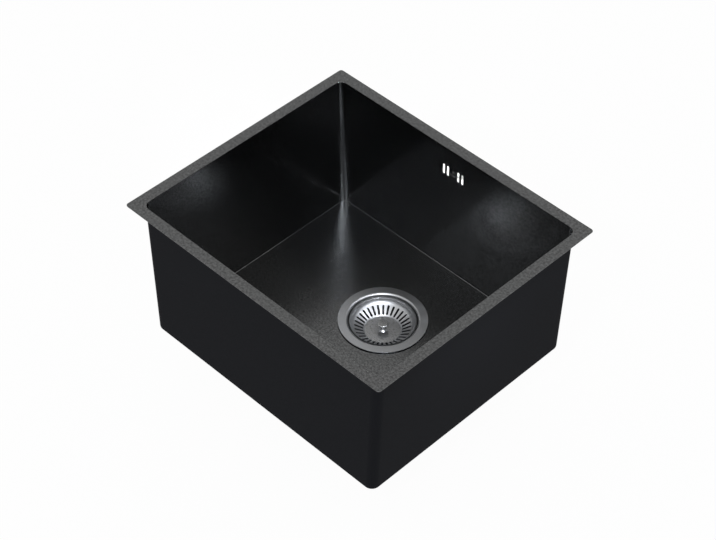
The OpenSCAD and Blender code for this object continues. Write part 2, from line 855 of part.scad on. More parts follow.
module union_nut() {
    grip_z = nut_end + hose_seal_h - nut_h;
    color([0.92, 0.92, 0.9]) translate([0, 0, grip_z]) difference() {
        union() {
            cylinder(d = nut_d - 2*nut_rib_out, h = nut_h);
            for (i = [0:nut_rib_count - 1]) {
                rotate(i*360/nut_rib_count) translate([nut_d/2 - nut_rib_r, 0, 0]) {
                    cylinder(r = nut_rib_r, h = nut_h);
                }
            }
        }
        translate([0, 0, -eps]) cylinder(d = spigot_d + 2*fixed_clear, h = nut_h - nut_end + eps);
        translate([0, 0, -eps]) cylinder(d = hose_d + 4*fixed_clear, h = nut_h + 2*eps);
    }
}

module cone_washer() {
    color([0.1, 0.1, 0.1]) difference() {
        cylinder(d1 = spigot_d - seal_taper, d2 = spigot_d, h = hose_seal_h);
        translate([0, 0, -eps]) cylinder(d = hose_d + 2*fixed_clear, h = hose_seal_h + 2*eps);
    }
}

// Angle of the route at a distance along it: 0 points down and 90 points forward. The
// distance is counted from the first rib, so it is below 0 on the upper plain end
function bend_at(s) = min(max((s - run_down)/run_bend, 0), 1)*90;

function hose_at(s) = [
    drain_x*ease(min(max(s/run_down, 0), 1)),
    hose_y - hose_bend_r*(1 - cos(bend_at(s))) - max(s - run_down - run_bend, 0),
    hose_top_z - min(s, run_down) - hose_bend_r*sin(bend_at(s))
];

function hose_ring(s, r) = [for (i = [0:hose_sides - 1])
    let (a = i*360/hose_sides, b = bend_at(s))
    hose_at(s) + [r*cos(a), r*sin(a)*cos(b), -r*sin(a)*sin(b)]
];

// The hose as one closed tube: out along the plain ends and the ribs, and back along the bore
module overflow_hose() {
    root_r = hose_d/2;
    bore_r = hose_bore_d/2/cos(180/hose_sides);
    half_ribs = 2*hose_ribs;
    end_len = hose_seat + cuff_out;
    rings = concat(
        [hose_ring(-end_len, root_r)],
        [for (i = [0:half_ribs]) hose_ring(hose_run*i/half_ribs, i % 2 == 0 ? root_r : hose_rib_d/2)],
        [hose_ring(hose_run + end_len, root_r), hose_ring(hose_run + end_len, bore_r)],
        [for (i = [half_ribs:-bore_skip:0]) hose_ring(hose_run*i/half_ribs, bore_r)],
        [hose_ring(-end_len, bore_r)]
    );
    n = len(rings);
    m = hose_sides;
    faces = [for (i = [0:n - 1], j = [0:m - 1], half = [0, 1])
        let (a = i*m + j, b = i*m + (j + 1) % m, c = ((i + 1) % n)*m + j, d = ((i + 1) % n)*m + (j + 1) % m)
        half == 0 ? [a, b, c] : [b, d, c]
    ];
    color([0.9, 0.9, 0.88]) polyhedron(points = [for (ring = rings, p = ring) p], faces = faces);
}

module hose_nut_upper() {
    at_upper_spigot() union_nut();
}

module hose_nut_lower() {
    at_lower_spigot() union_nut();
}

module hose_seal_upper() {
    at_upper_spigot() cone_washer();
}

module hose_seal_lower() {
    at_lower_spigot() cone_washer();
}

sink_bowl();
sound_pad_left();
sound_pad_right();
waste_flange();
flange_gasket();
body_gasket();
waste_body();
body_insert();
centre_screw();
strainer_basket();
lift_knob();
basket_stem();
stem_catch();
plug_seal();
plug_washer();
overflow_head();
overflow_gasket();
overflow_screw();
overflow_insert();
overflow_hose();
hose_nut_upper();
hose_nut_lower();
hose_seal_upper();
hose_seal_lower();
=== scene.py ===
# Looks of a black inset sink with a basket strainer waste and an overflow.
# All places are in metres in the CAD's frame: the origin is the centre of the bowl outline
# in the top plane of the flange, +Y points to the back wall and +Z up.
import math

import bmesh
import bpy
from mathutils import Matrix, Vector


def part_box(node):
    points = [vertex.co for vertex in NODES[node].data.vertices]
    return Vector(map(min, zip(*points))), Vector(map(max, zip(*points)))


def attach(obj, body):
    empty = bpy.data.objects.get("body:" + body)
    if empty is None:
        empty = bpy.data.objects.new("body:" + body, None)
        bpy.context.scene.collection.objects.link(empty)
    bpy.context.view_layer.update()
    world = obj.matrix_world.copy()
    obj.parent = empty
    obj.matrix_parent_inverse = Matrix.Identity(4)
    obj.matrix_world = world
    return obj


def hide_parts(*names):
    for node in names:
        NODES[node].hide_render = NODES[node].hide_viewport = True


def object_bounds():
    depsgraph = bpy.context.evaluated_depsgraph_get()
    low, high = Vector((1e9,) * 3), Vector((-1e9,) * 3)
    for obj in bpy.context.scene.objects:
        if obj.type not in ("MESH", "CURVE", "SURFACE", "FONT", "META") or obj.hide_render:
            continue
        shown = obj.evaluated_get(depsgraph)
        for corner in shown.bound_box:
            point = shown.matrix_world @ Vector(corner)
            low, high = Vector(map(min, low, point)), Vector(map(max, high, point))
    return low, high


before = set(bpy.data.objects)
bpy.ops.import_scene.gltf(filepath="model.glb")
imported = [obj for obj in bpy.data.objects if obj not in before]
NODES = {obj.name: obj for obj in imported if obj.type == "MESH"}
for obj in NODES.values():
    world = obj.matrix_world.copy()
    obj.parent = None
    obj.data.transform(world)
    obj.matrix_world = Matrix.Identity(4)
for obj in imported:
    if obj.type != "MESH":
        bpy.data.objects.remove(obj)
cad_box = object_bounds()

MM = 0.001
TAU = 2*math.pi

# Bowl
LIP = 15*MM
FLANGE_CORNER_R = 4*MM
EDGE_ROUND = 0.25*MM
SHEET = 1.2*MM
SIDE_LEAN = 7*MM
CORNER_R = 10*MM
FLOOR_R = 1.5*MM
FOLD_R = 1.2*MM
DRAIN_HOLE_R = 46*MM

# Faces of the bowl: along a corner, along a side, over the fold, down the wall and round its foot
CORNER_STEPS = 14
SIDE_STEPS = 24
FOLD_STEPS = 6
WALL_STEPS = 10
FOOT_STEPS = 7

# Overflow
SLOT_W = 3.6*MM
SLOT_LEN = 16*MM
SLOT_X = (8.7*MM, 15.4*MM)
OVERFLOW_Z = -36.5*MM
SCREW_HOLE_R = 2.6*MM

# Overflow housing: a stadium seen from the front, with walls of 2 mm. The limits of the painted
# glow on its inside, an emission that makes the slots read white, lie within those walls.
HOUSING_HALF_STRAIGHT = 10*MM
HOUSING_PAINTED_GLOW_R = 14*MM
HOUSING_PAINTED_GLOW_BACK = 1.2*MM
HOUSING_PAINTED_GLOW = 0.9

# Waste ring and cup
RING_FLAT_R = 47.25*MM
CUP_R = 44*MM
CUP_SHEET = 0.8*MM
RING_EDGE_R = 0.35*CUP_SHEET
CUP_EDGE_R = 5*MM
CUP_DEPTH = 29*MM
WELL_R = 25*MM
WELL_DEPTH = 4*MM
WELL_SLOPE = 2*MM
WELL_HOLE_R = 4.5*MM
WELL_PITCH_R = 16*MM
WELL_HOLES = 6
SCREW_CLEAR_R = 6.1*MM
RING_EDGE_STEPS = 3
RING_ROLL_STEPS = 10

# Basket
BEAD_R = 0.8*MM
BASKET_SHEET = 0.6*MM
BASKET_DEPTH = 14.6*MM
BASKET_FLOOR_R = 23*MM
FLOOR_STEP = 1.6*MM
CONE_RISE = 6.2*MM
SLOT_IN_R = 24.3*MM
SLOT_OUT_R = 36.2*MM
BASKET_SLOT_W = 2.7*MM
BASKET_SLOTS = 32
BASKET_TURN = math.radians(-1.8)
STEM_HOLE_R = 2.6*MM

# Knob
KNOB_CAP_R = 7.25*MM
KNOB_H = 12*MM
KNOB_CAP_T = 2.2*MM
KNOB_WAIST_R = 2.2*MM
KNOB_FOOT_R = 5.5*MM
KNOB_FOOT_T = 1.2*MM
KNOB_FOOT_EDGE = 0.6*KNOB_FOOT_T

# Hose
HOSE_ROOT_R = 9*MM
HOSE_RIB_R = 10*MM
HOSE_BORE_R = 7.25*MM
HOSE_PITCH = 3.6*MM
HOSE_BEND_R = 40*MM
HOSE_CUFF = 10.5*MM
HOSE_SEAT = 9*MM
HOSE_SIDES = 28
RIB_STEPS = 10
RIB_FULLNESS = 0.6

# Cutters: how far they reach to both sides of the back wall and of the well's floor, and how
# far the ends of the basket's cutters lie below its floor and its rim
WALL_CUT = 5*MM
WELL_CUT = 2*MM
BASKET_CUT = 3*MM

# Camera, from lines fitted to the edges in the photo
CAMERA_PLACE = Vector((1.2126, -1.23116, 1.62323))
CAMERA_AZIMUTH = 44.565
CAMERA_ELEVATION = 44.699
CAMERA_ROLL = 0.439
CAMERA_LENS = 101.328
CAMERA_SENSOR = 36
CAMERA_REACH = 50

# Floor and world
STAGE_SIZE = 30
STAGE_GAP = 0.5*MM
STAGE_TONE = 0.8
STAGE_GLOW = 0.965
WORLD_STRENGTH = 0.8

# Lamps
LAMP_COLOR = (0.86, 0.91, 1.0)
LAMP_FAR = 2.2
LAMP_SIZE = 0.14
SPOT_ANGLE = 6
SPOT_BLEND = 0.5

bowl_low, bowl_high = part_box("sink_bowl")
ring_low, ring_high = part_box("waste_flange")
basket_low, basket_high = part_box("strainer_basket")
HALF_W = bowl_high.x
HALF_D = bowl_high.y
FLOOR_Z = bowl_low.z + SHEET
DRAIN = Vector(((ring_low.x + ring_high.x)/2, (ring_low.y + ring_high.y)/2, ring_high.z))
RING_R = (ring_high.x - ring_low.x)/2
BASKET_R = (basket_high.x - basket_low.x)/2
RIM_Z = basket_high.z
FAR_CORNER = Vector((LIP - HALF_W, HALF_D - LIP, FLOOR_Z/2))
BOWL_MIDDLE = Vector((0, 0, -150*MM))


# Shader helpers

def node(tree, kind, inputs=(), **settings):
    """Adds a shader node, sets its properties, and sets or links its inputs by name or place."""
    made = tree.nodes.new(kind)
    for key, value in settings.items():
        setattr(made, key, value)
    for key, value in dict(inputs).items():
        if isinstance(value, bpy.types.NodeSocket):
            tree.links.new(value, made.inputs[key])
        else:
            made.inputs[key].default_value = value
    return made


def math_node(tree, operation, first, second):
    """The result of one operation on two values."""
    return node(tree, "ShaderNodeMath", {0: first, 1: second}, operation=operation).outputs[0]


def vector_node(tree, operation, first, second=(0, 0, 0)):
    """The result of one operation on one or two vectors."""
    return node(tree, "ShaderNodeVectorMath", {0: first, 1: second}, operation=operation).outputs[0]


def length_node(tree, vector):
    return node(tree, "ShaderNodeVectorMath", {0: vector}, operation="LENGTH").outputs["Value"]


def new_material(name, **sockets):
    """A material with one main shader, and plain numbers on its sockets."""
    material = bpy.data.materials.new(name)
    material.use_nodes = True
    shader = material.node_tree.nodes["Principled BSDF"]
    for key, value in sockets.items():
        shader.inputs[key.replace("_", " ")].default_value = value
    return material, material.node_tree, shader


def object_space(tree, scale=(1, 1, 1), centre=(0, 0, 0)):
    """The point's place on the object, measured from a centre and stretched."""
    coords = node(tree, "ShaderNodeTexCoord").outputs["Object"]
    return vector_node(tree, "MULTIPLY", vector_node(tree, "SUBTRACT", coords, centre), scale)


def noise(tree, vector, scale, detail, roughness):
    inputs = {"Vector": vector, "Scale": scale, "Detail": detail, "Roughness": roughness}
    return node(tree, "ShaderNodeTexNoise", inputs).outputs["Fac"]


def remap(tree, value, span, result):
    """Maps a value from one span of numbers to another."""
    inputs = {
        "Value": value,
        "From Min": span[0], "From Max": span[1],
        "To Min": result[0], "To Max": result[1],
    }
    return node(tree, "ShaderNodeMapRange", inputs).outputs["Result"]


def mix_colors(tree, factor, low, high):
    made = node(tree, "ShaderNodeMix", data_type="RGBA")
    for key, value in (("Factor", factor), ("A", low), ("B", high)):
        socket = next(s for s in made.inputs if s.name == key and s.enabled)
        if isinstance(value, bpy.types.NodeSocket):
            tree.links.new(value, socket)
        else:
            socket.default_value = value
    return next(s for s in made.outputs if s.enabled)


def bump(tree, shader, height, distance, strength):
    made = node(tree, "ShaderNodeBump", {"Height": height, "Distance": distance, "Strength": strength})
    tree.links.new(made.outputs["Normal"], shader.inputs["Normal"])


def grey(value):
    return (value, value, value, 1)


# Materials

def black_steel(name="black_steel", roughness=0.2):
    """Black coated steel with a fine, slightly sparkling grain."""
    material, tree, shader = new_material(name, Metallic=1.0, Roughness=roughness)
    place = object_space(tree)
    grain = noise(tree, place, scale=360, detail=3, roughness=0.7)
    cloud = noise(tree, place, scale=16, detail=3, roughness=0.5)
    shadow = 0.055
    shine = 0.135
    cool = 1.015
    low = (shadow, shadow*cool, shadow*cool, 1)
    high = (shine, shine*cool, shine*cool, 1)
    dark = mix_colors(tree, remap(tree, grain, (0.35, 0.65), (0, 1)), low, high)
    tree.links.new(dark, shader.inputs["Base Color"])
    rough = remap(tree, cloud, (0.3, 0.7), (roughness*0.9, roughness*1.1))
    tree.links.new(rough, shader.inputs["Roughness"])
    bump(tree, shader, grain, distance=0.05*MM, strength=0.4)
    return material


def black_coat():
    """The duller coat on the outside of the bowl, which faces the cupboard."""
    material, tree, shader = new_material("black_coat", Roughness=0.6, Specular_IOR_Level=0.02)
    grain = noise(tree, object_space(tree), scale=820, detail=2, roughness=0.6)
    low = (0.0072, 0.0076, 0.0092, 1)
    high = (0.0106, 0.0111, 0.013, 1)
    dark = mix_colors(tree, remap(tree, grain, (0.3, 0.7), (0, 1)), low, high)
    tree.links.new(dark, shader.inputs["Base Color"])
    bump(tree, shader, grain, distance=0.05*MM, strength=0.5)
    return material


def ring_steel():
    """Stainless steel with the fine rings that a lathe's brush leaves."""
    material, tree, shader = new_material("ring_steel", Metallic=1.0, Roughness=0.34, Anisotropic=0.5)
    place = object_space(tree, centre=tuple(DRAIN))
    radius = length_node(tree, vector_node(tree, "MULTIPLY", place, (1, 1, 0)))
    along = node(tree, "ShaderNodeCombineXYZ", {"X": radius}).outputs[0]
    rings = noise(tree, along, scale=2400, detail=2, roughness=0.6)
    cloud = noise(tree, place, scale=90, detail=3, roughness=0.55)
    low = (0.22, 0.223, 0.227, 1)
    high = (0.36, 0.364, 0.37, 1)
    light = mix_colors(tree, remap(tree, rings, (0.3, 0.7), (0, 1)), low, high)
    tree.links.new(light, shader.inputs["Base Color"])
    tree.links.new(remap(tree, cloud, (0.3, 0.7), (0.30, 0.40)), shader.inputs["Roughness"])
    tangent = node(tree, "ShaderNodeTangent", direction_type="RADIAL", axis="Z")
    tree.links.new(tangent.outputs[0], shader.inputs["Tangent"])
    bump(tree, shader, rings, distance=0.02*MM, strength=0.4)
    return material


def polished_steel(name="polished_steel", tone=0.34, roughness=0.14):
    """Stainless steel with a polish from near-mirror to satin, and faint wipe marks."""
    material, tree, shader = new_material(name, Metallic=1.0, Roughness=roughness)
    wipe = noise(tree, object_space(tree, (40, 220, 90)), scale=6, detail=3, roughness=0.6)
    cloud = noise(tree, object_space(tree), scale=120, detail=3, roughness=0.5)
    light = mix_colors(tree, cloud, grey(tone*0.88), grey(tone))
    tree.links.new(light, shader.inputs["Base Color"])
    rough = remap(tree, wipe, (0.3, 0.75), (roughness*0.75, roughness*1.5))
    tree.links.new(rough, shader.inputs["Roughness"])
    bump(tree, shader, cloud, distance=0.02*MM, strength=0.3)
    return material


def brass():
    material, tree, shader = new_material("brass", Metallic=1.0, Roughness=0.3)
    turned = noise(tree, object_space(tree, (1, 1, 30)), scale=300, detail=2, roughness=0.5)
    gold = mix_colors(tree, turned, (0.62, 0.44, 0.17, 1), (0.80, 0.62, 0.30, 1))
    tree.links.new(gold, shader.inputs["Base Color"])
    tree.links.new(remap(tree, turned, (0.3, 0.7), (0.24, 0.38)), shader.inputs["Roughness"])
    return material


def white_plastic(name="white_plastic", tone=0.80):
    """Moulded plastic with a satin skin and a faint orange peel."""
    material, tree, shader = new_material(name, Roughness=0.42)
    place = object_space(tree)
    peel = noise(tree, place, scale=900, detail=1, roughness=0.5)
    cloud = noise(tree, place, scale=30, detail=3, roughness=0.5)
    white = mix_colors(tree, cloud, (tone*0.96, tone*0.96, tone*0.94, 1), (tone, tone, tone*0.985, 1))
    tree.links.new(white, shader.inputs["Base Color"])
    tree.links.new(remap(tree, peel, (0.3, 0.7), (0.36, 0.5)), shader.inputs["Roughness"])
    bump(tree, shader, peel, distance=0.03*MM, strength=0.4)
    return material


def painted_glow_plastic():
    """White plastic for the overflow housing, with a painted glow on its inside: an emission, no lamp,
    that makes the slots read white.
    """
    material = white_plastic("shell_plastic_painted_glow", 0.84)
    tree = material.node_tree
    shader = tree.nodes["Principled BSDF"]
    # Painted glow: the inside of the housing emits light of its own, so the slots show white.
    shader.inputs["Emission Strength"].default_value = HOUSING_PAINTED_GLOW
    flat = object_space(tree, (1, 0, 1), (0, 0, OVERFLOW_Z))
    mirrored = vector_node(tree, "ABSOLUTE", flat)
    past_straight = vector_node(tree, "SUBTRACT", mirrored, (HOUSING_HALF_STRAIGHT, 0, 0))
    radius = length_node(tree, vector_node(tree, "MAXIMUM", past_straight))
    within = math_node(tree, "LESS_THAN", radius, HOUSING_PAINTED_GLOW_R)
    depth = node(tree, "ShaderNodeSeparateXYZ", {0: object_space(tree)}).outputs["Y"]
    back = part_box("overflow_head")[1].y - HOUSING_PAINTED_GLOW_BACK
    inside = math_node(tree, "MULTIPLY", within, math_node(tree, "LESS_THAN", depth, back))
    tree.links.new(mix_colors(tree, inside, grey(0), grey(1)), shader.inputs["Emission Color"])
    return material


def rubber(name="black_rubber", tone=0.022, pits=700):
    """Rubber with a matt, finely pitted skin."""
    material, tree, shader = new_material(name, Roughness=0.7, Specular_IOR_Level=0.35)
    grain = noise(tree, object_space(tree), scale=pits, detail=3, roughness=0.6)
    dark = mix_colors(tree, grain, grey(tone*0.7), grey(tone*1.4))
    tree.links.new(dark, shader.inputs["Base Color"])
    tree.links.new(remap(tree, grain, (0.3, 0.7), (0.62, 0.8)), shader.inputs["Roughness"])
    bump(tree, shader, grain, distance=0.1*MM, strength=0.5)
    return material


# Mesh helpers

def apply_modifiers(piece):
    """Turns a piece's modifiers into plain mesh."""
    graph = bpy.context.evaluated_depsgraph_get()
    mesh = bpy.data.meshes.new_from_object(piece.evaluated_get(graph))
    piece.modifiers.clear()
    piece.data = mesh


def make_piece(name, bm, materials):
    """Turns a mesh in the making into a shown object with outward faces."""
    bmesh.ops.recalc_face_normals(bm, faces=bm.faces)
    mesh = bpy.data.meshes.new(name)
    bm.to_mesh(mesh)
    bm.free()
    for material in materials:
        mesh.materials.append(material)
    piece = bpy.data.objects.new(name, mesh)
    bpy.context.scene.collection.objects.link(piece)
    return piece


def smooth(piece, angle=32):
    """Smooth shading that keeps flat faces flat and edges over an angle in degrees sharp."""
    piece.data.shade_smooth()
    piece.data.set_sharp_from_angle(angle=math.radians(angle))
    weighted = piece.modifiers.new("weighted", "WEIGHTED_NORMAL")
    weighted.keep_sharp = True
    weighted.weight = 90
    apply_modifiers(piece)


def bridge(bm, lower, upper, index=0):
    """Faces between two closed loops of vertices, or between a loop and one vertex."""
    for i in range(max(len(lower), len(upper))):
        here, ahead = i, i + 1
        corners = [lower[here % len(lower)], lower[ahead % len(lower)]]
        corners += [upper[ahead % len(upper)], upper[here % len(upper)]]
        face = bm.faces.new(list(dict.fromkeys(corners)))
        face.material_index = index


def circle(radius, steps=32):
    """Points (x, y) round a circle."""
    return [(radius*math.cos(TAU*i/steps), radius*math.sin(TAU*i/steps)) for i in range(steps)]


def arc(centre_r, centre_z, radius, start, end, steps):
    """Points of (radius, height) along an arc, with its angles in degrees."""
    angles = [math.radians(start + (end - start)*i/steps) for i in range(steps + 1)]
    return [(centre_r + radius*math.cos(a), centre_z + radius*math.sin(a)) for a in angles]


def stadium(length, width, steps=10):
    """Outline of a slot with round ends, centred, long along its first axis."""
    half = (length - width)/2
    right = [math.radians(-90 + 180*i/steps) for i in range(steps + 1)]
    points = [(half + width/2*math.cos(a), width/2*math.sin(a)) for a in right]
    return points + [(-x, -y) for x, y in points]


def lathe(name, outline, centre, materials, steps, face_material=lambda place: 0):
    """Turns a closed outline of (radius, height) points round an upright axis."""
    bm = bmesh.new()
    loops = []
    for radius, height in outline:
        around = circle(radius, steps) if radius > 0 else [(0, 0)]
        loops.append([bm.verts.new((centre.x + x, centre.y + y, height)) for x, y in around])
    for place, (lower, upper) in enumerate(zip(loops, loops[1:] + loops[:1])):
        if len(lower) + len(upper) > 2:
            bridge(bm, lower, upper, face_material(place))
    return make_piece(name, bm, materials)


def add_prism(bm, outline, place, low, high):
    """A prism on an outline, between two heights. place turns (x, y, height) into a point."""
    rings = [[bm.verts.new(place(x, y, z)) for x, y in outline] for z in (low, high)]
    bm.faces.new(rings[0][::-1])
    bm.faces.new(rings[1])
    bridge(bm, rings[0], rings[1])


def cut(piece, bm):
    """Cuts prisms out of a piece."""
    tool = make_piece(piece.name + "_cutter", bm, [])
    made = piece.modifiers.new("cut", "BOOLEAN")
    made.operation = "DIFFERENCE"
    made.solver = "EXACT"
    made.object = tool
    apply_modifiers(piece)
    bpy.data.objects.remove(tool)


def place_piece(piece, body, slot, *replaced):
    """Hangs a piece on the body that it rides on and hides the CAD nodes that it stands for; its finish,
    the slot, is not used.
    """
    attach(piece, body)
    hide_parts(*replaced)


# Bowl

def rounded_loop(half_x, half_y, radius, height):
    """Points round a rounded rectangle, the same number for every size."""
    points = []
    for quarter, (sx, sy) in enumerate(((1, 1), (-1, 1), (-1, -1), (1, -1))):
        middle = (sx*(half_x - radius), sy*(half_y - radius))
        for i in range(CORNER_STEPS + 1):
            a = TAU/4*(quarter + i/CORNER_STEPS)
            points.append((middle[0] + radius*math.cos(a), middle[1] + radius*math.sin(a)))
        ahead = ((-1, 1), (-1, -1), (1, -1), (1, 1))[quarter]
        turn = TAU/4*(quarter + 1)
        start = points[-1]
        end = (
            ahead[0]*(half_x - radius) + radius*math.cos(turn),
            ahead[1]*(half_y - radius) + radius*math.sin(turn),
        )
        for i in range(1, SIDE_STEPS):
            t = i/SIDE_STEPS
            points.append((start[0] + (end[0] - start[0])*t, start[1] + (end[1] - start[1])*t))
    return [(x, y, height) for x, y in points]


def wall_loop(height, grow):
    """A loop round the bowl's wall at a height, grown outward."""
    half_x = HALF_W - LIP + SIDE_LEAN*height/-FLOOR_Z
    return rounded_loop(half_x + grow, HALF_D - LIP + grow, CORNER_R + grow, height)


def bowl_skin(grow, top):
    """Loops down one face of the wall and round its foot to the floor."""
    foot_r = FLOOR_R + grow
    low = FLOOR_Z - grow
    heights = [top + (low + foot_r - top)*i/WALL_STEPS for i in range(WALL_STEPS + 1)]
    loops = [wall_loop(z, grow) for z in heights]
    half_x = HALF_W - LIP - SIDE_LEAN + grow
    half_y = HALF_D - LIP + grow
    for i in range(1, FOOT_STEPS + 1):
        a = TAU/4*i/FOOT_STEPS
        back = foot_r*(1 - math.cos(a))
        height = low + foot_r*(1 - math.sin(a))
        loops.append(rounded_loop(half_x - back, half_y - back, CORNER_R + grow - back, height))
    return loops


def drain_loop(outer, radius, height):
    """Points round the drain hole, each in line with a point of the loop around it."""
    points = []
    for x, y, _ in outer:
        a = math.atan2(y - DRAIN.y, x - DRAIN.x)
        points.append((DRAIN.x + radius*math.cos(a), DRAIN.y + radius*math.sin(a), height))
    return points


def flange_loop(inset, height):
    """A loop round the flange's outer edge."""
    return rounded_loop(HALF_W - inset, HALF_D - inset, FLANGE_CORNER_R - inset, height)


def fold_loops():
    """Loops over the rounded fold from the flange down into the wall."""
    loops = []
    for i in range(FOLD_STEPS + 1):
        a = TAU/4*i/FOLD_STEPS
        out = FOLD_R*(1 - math.sin(a))
        height = -FOLD_R*(1 - math.cos(a))
        loops.append(wall_loop(height, out))
    return loops


def make_bowl(walls, floor, outside):
    """The folded bowl as one closed sheet, with its edges slightly rounded."""
    inner = bowl_skin(0, -FOLD_R)
    outer = bowl_skin(SHEET, -SHEET)
    hole_top = drain_loop(inner[-1], DRAIN_HOLE_R, FLOOR_Z)
    hole_low = drain_loop(inner[-1], DRAIN_HOLE_R, FLOOR_Z - SHEET)
    faces_in = [flange_loop(EDGE_ROUND, 0)] + fold_loops() + inner[1:] + [hole_top]
    edge = [flange_loop(0, -SHEET + EDGE_ROUND), flange_loop(0, -EDGE_ROUND)]
    faces_out = [hole_low] + outer[::-1] + [flange_loop(EDGE_ROUND, -SHEET)] + edge
    bm = bmesh.new()
    loops = [[bm.verts.new(p) for p in loop] for loop in faces_in + faces_out]
    for place, (lower, upper) in enumerate(zip(loops, loops[1:] + loops[:1])):
        outside_face = len(faces_in) <= place < len(loops) - len(edge) - 1
        floor_face = place == len(faces_in) - 2
        bridge(bm, lower, upper, 2 if outside_face else 1 if floor_face else 0)
    bowl = make_piece("bowl", bm, [walls, floor, outside])

    slots = bmesh.new()
    upright = [(y, x) for x, y in stadium(SLOT_LEN, SLOT_W)]
    front = HALF_D - LIP - WALL_CUT
    back = HALF_D - LIP + WALL_CUT
    for x0 in [s*x for x in SLOT_X for s in (-1, 1)]:
        add_prism(slots, upright, lambda x, z, y: (x0 + x, y, OVERFLOW_Z + z), front, back)
    add_prism(slots, circle(SCREW_HOLE_R), lambda x, z, y: (x, y, OVERFLOW_Z + z), front, back)
    cut(bowl, slots)
    smooth(bowl)
    place_piece(bowl, "sink", "black_steel", "sink_bowl")


# Waste

def cup_face(offset):
    """Points down one face of the cup, from the ring to the foot of the well."""
    roll_r = RING_FLAT_R - CUP_R
    top = DRAIN.z
    floor = top - CUP_DEPTH
    well = floor - WELL_DEPTH
    lean = WELL_SLOPE/WELL_DEPTH
    side = WELL_R + offset*(math.hypot(1, lean) - lean)
    points = arc(RING_FLAT_R, top - roll_r, roll_r - offset, start=90, end=180, steps=RING_ROLL_STEPS)
    points += arc(CUP_R - CUP_EDGE_R, floor + CUP_EDGE_R, CUP_EDGE_R + offset, start=0, end=-90, steps=10)
    points += [(side, floor - offset), (side - WELL_SLOPE, well - offset)]
    return points


def make_ring(brushed, polished, inside):
    """The waste's brushed ring, with its polished roll and the cup below in a darker steel as painted
    shade.
    """
    top = DRAIN.z
    edge_z = top - RING_EDGE_R
    edge = arc(RING_R - RING_EDGE_R, edge_z, RING_EDGE_R, start=30, end=90, steps=RING_EDGE_STEPS)
    upper = [(RING_R, edge_z)] + edge + cup_face(0)
    lower = cup_face(CUP_SHEET)[::-1] + [(RING_R, top - CUP_SHEET)]
    hole = [(SCREW_CLEAR_R, upper[-1][1]), (SCREW_CLEAR_R, lower[0][1])]
    outline = upper + hole + lower
    roll_start = RING_EDGE_STEPS + 2

    def pick(place):
        if place < roll_start or place == len(outline) - 1:
            return 0
        # Faces below the roll take the darkened cup steel, which is painted shade.
        return 1 if place < roll_start + RING_ROLL_STEPS else 2

    ring = lathe("waste_ring", outline, DRAIN, [brushed, polished, inside], steps=160, face_material=pick)

    holes = bmesh.new()
    hole_outline = circle(WELL_HOLE_R)
    below = ring_low.z - WELL_CUT
    above = ring_low.z + WELL_CUT
    for i in range(WELL_HOLES):
        a = TAU*i/WELL_HOLES
        middle = (DRAIN.x + WELL_PITCH_R*math.cos(a), DRAIN.y + WELL_PITCH_R*math.sin(a))
        add_prism(holes, hole_outline, lambda x, y, z: (middle[0] + x, middle[1] + y, z), below, above)
    cut(ring, holes)
    smooth(ring)
    place_piece(ring, "sink", "brushed_steel", "waste_flange")


def basket_face(offset):
    """Points of one face of the basket, from its wall's top to the edge of its floor."""
    floor = RIM_Z - BASKET_DEPTH
    low = floor + FLOOR_STEP
    high = low + CONE_RISE
    tilt = math.atan2(CONE_RISE, SLOT_OUT_R - SLOT_IN_R)
    wall_r = BASKET_R - BEAD_R
    arc_r = (wall_r - SLOT_OUT_R)/(1 - math.sin(tilt))
    dx, dz = offset*math.sin(tilt), offset*math.cos(tilt)
    centre_z = high + arc_r*math.cos(tilt)
    points = arc(wall_r - arc_r, centre_z, arc_r + offset, start=0, end=math.degrees(tilt) - 90, steps=14)
    points += [(SLOT_IN_R + dx, low - dz), (BASKET_FLOOR_R + offset/2, floor - offset)]
    return points


def make_basket(pressed, satin):
    """Pressed basket with a rolled rim and a ring of radial slots."""
    inner = basket_face(0)
    outer = basket_face(BASKET_SHEET)
    bead = arc(BASKET_R - BEAD_R, RIM_Z - BEAD_R, BEAD_R, start=-60, end=220, steps=14)
    floor = RIM_Z - BASKET_DEPTH
    hole = [(STEM_HOLE_R, floor), (STEM_HOLE_R, floor - BASKET_SHEET)]
    outline = bead + inner[1:] + hole + outer[1:][::-1]
    floor_face = len(bead) + len(inner) - 2

    def pick(place):
        return 1 if place == floor_face else 0

    basket = lathe("basket", outline, DRAIN, [pressed, satin], steps=192, face_material=pick)

    slots = bmesh.new()
    middle_r = (SLOT_IN_R + SLOT_OUT_R)/2
    slot = stadium(SLOT_OUT_R - SLOT_IN_R, BASKET_SLOT_W)
    below = floor - BASKET_CUT
    above = RIM_Z - BASKET_CUT
    for i in range(BASKET_SLOTS):
        a = BASKET_TURN + TAU*i/BASKET_SLOTS
        turn = Matrix.Translation((DRAIN.x, DRAIN.y, 0)) @ Matrix.Rotation(a, 4, "Z")
        add_prism(slots, slot, lambda x, y, z: turn @ Vector((middle_r + x, y, z)), below, above)
    cut(basket, slots)
    smooth(basket)
    place_piece(basket, "basket", "polished_steel", "strainer_basket")


def make_knob(polished):
    """Turned knob: flat cap with a rounded edge, a hollowed waist and a foot."""
    base = RIM_Z - BASKET_DEPTH
    cap_r = KNOB_CAP_T/2
    flare_r = (KNOB_H - KNOB_CAP_T - KNOB_FOOT_T)/2
    flare_x = KNOB_WAIST_R + flare_r
    outline = [(0, base + KNOB_H)]
    outline += arc(KNOB_CAP_R - cap_r, base + KNOB_H - cap_r, cap_r, start=90, end=-90, steps=10)
    outline += arc(flare_x, base + KNOB_FOOT_T + flare_r, flare_r, start=110, end=232, steps=16)
    outline += [(KNOB_FOOT_R, base + KNOB_FOOT_EDGE), (KNOB_FOOT_R, base), (0, base)]
    knob = lathe("knob", outline, DRAIN, [polished], steps=96)
    smooth(knob, 40)
    place_piece(knob, "basket", "polished_steel", "lift_knob")


# Hose

